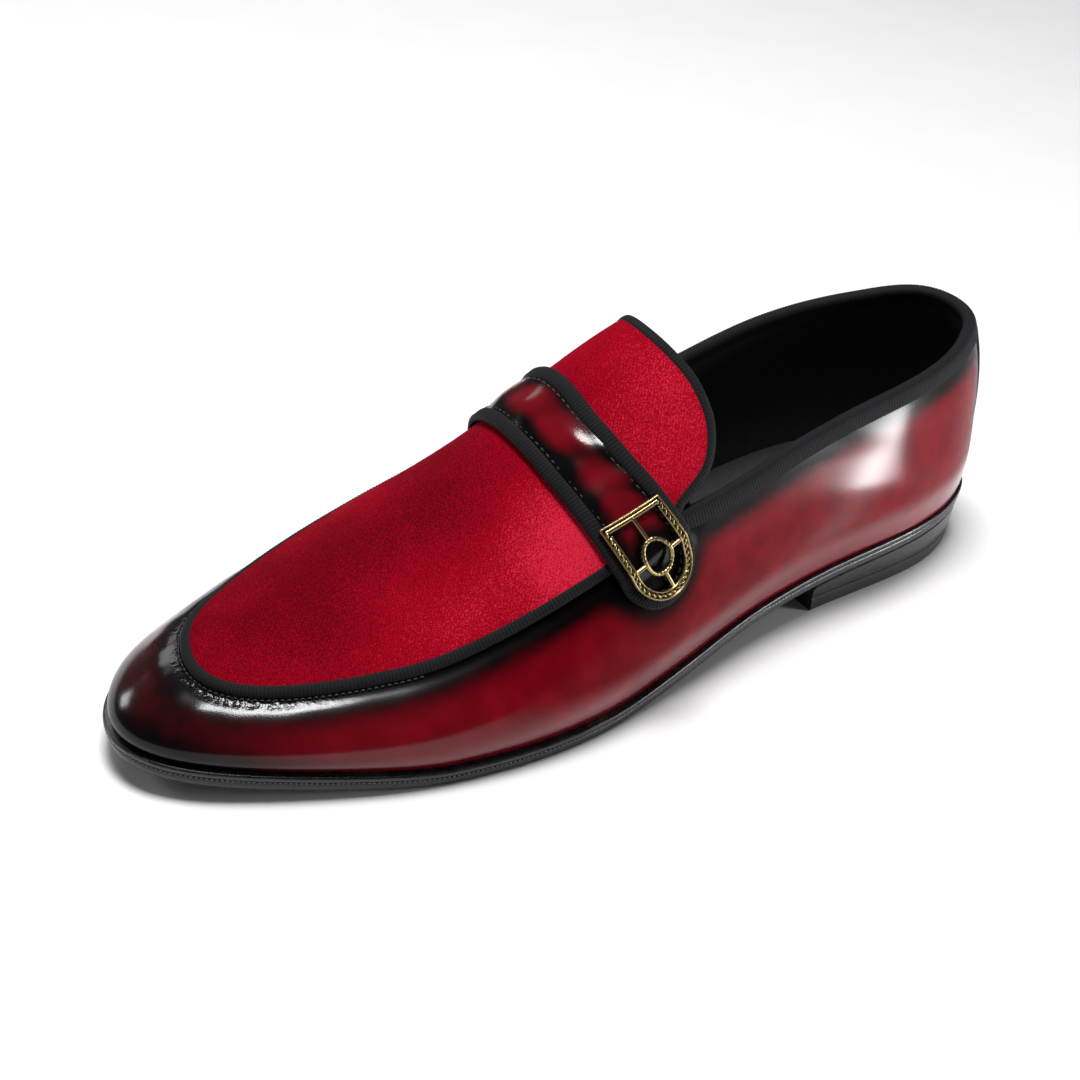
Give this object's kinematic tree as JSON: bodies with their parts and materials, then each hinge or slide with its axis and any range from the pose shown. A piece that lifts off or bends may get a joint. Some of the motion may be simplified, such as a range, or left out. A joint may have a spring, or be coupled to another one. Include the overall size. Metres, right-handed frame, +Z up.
{
  "type": "loafer shoe",
  "caption": "Slip-on leather loafer for the left foot, with a velvet plug and tongue, ribbon-bound edges, a strap over the instep and a low heel.",
  "frame": {"origin": "middle of the shoe in plan, on the surface that it stands on", "axes": "+X towards the toe, +Y towards the outer side of the foot, +Z up"},
  "size_m": [0.3013, 0.1049, 0.1],
  "materials": {
    "outsole": "black, smooth, edge-dressed",
    "welt": "black, waxed edge",
    "filler": "cork, matte, hidden",
    "insole": "black, satin lining leather",
    "top_lift": "black, smooth, satin",
    "heel_block": "black, polished heel edge",
    "upper": "burgundy, hand-burnished to black at toe and edges, high gloss",
    "plug_ribbon": "black ribbed grosgrain",
    "velvet_plug": "bright red velvet",
    "strap": "burgundy burnished to black, puckered, high gloss",
    "strap_ribbon": "black ribbed grosgrain",
    "topline_ribbon": "black ribbed grosgrain",
    "back_strip": "black ribbed grosgrain",
    "badge": "cast, antiqued, dark in its recesses"
  },
  "bodies": {
    "root": {"outsole": "outsole", "welt": "welt", "filler": "filler", "insole": "insole", "top_lift": "top_lift", "heel_block": "heel_block", "upper": "upper", "plug_ribbon": "plug_ribbon", "velvet_plug": "velvet_plug", "strap": "strap", "strap_ribbon": "strap_ribbon", "topline_ribbon": "topline_ribbon", "back_strip": "back_strip", "badge": "badge"}
  },
  "joints": []
}
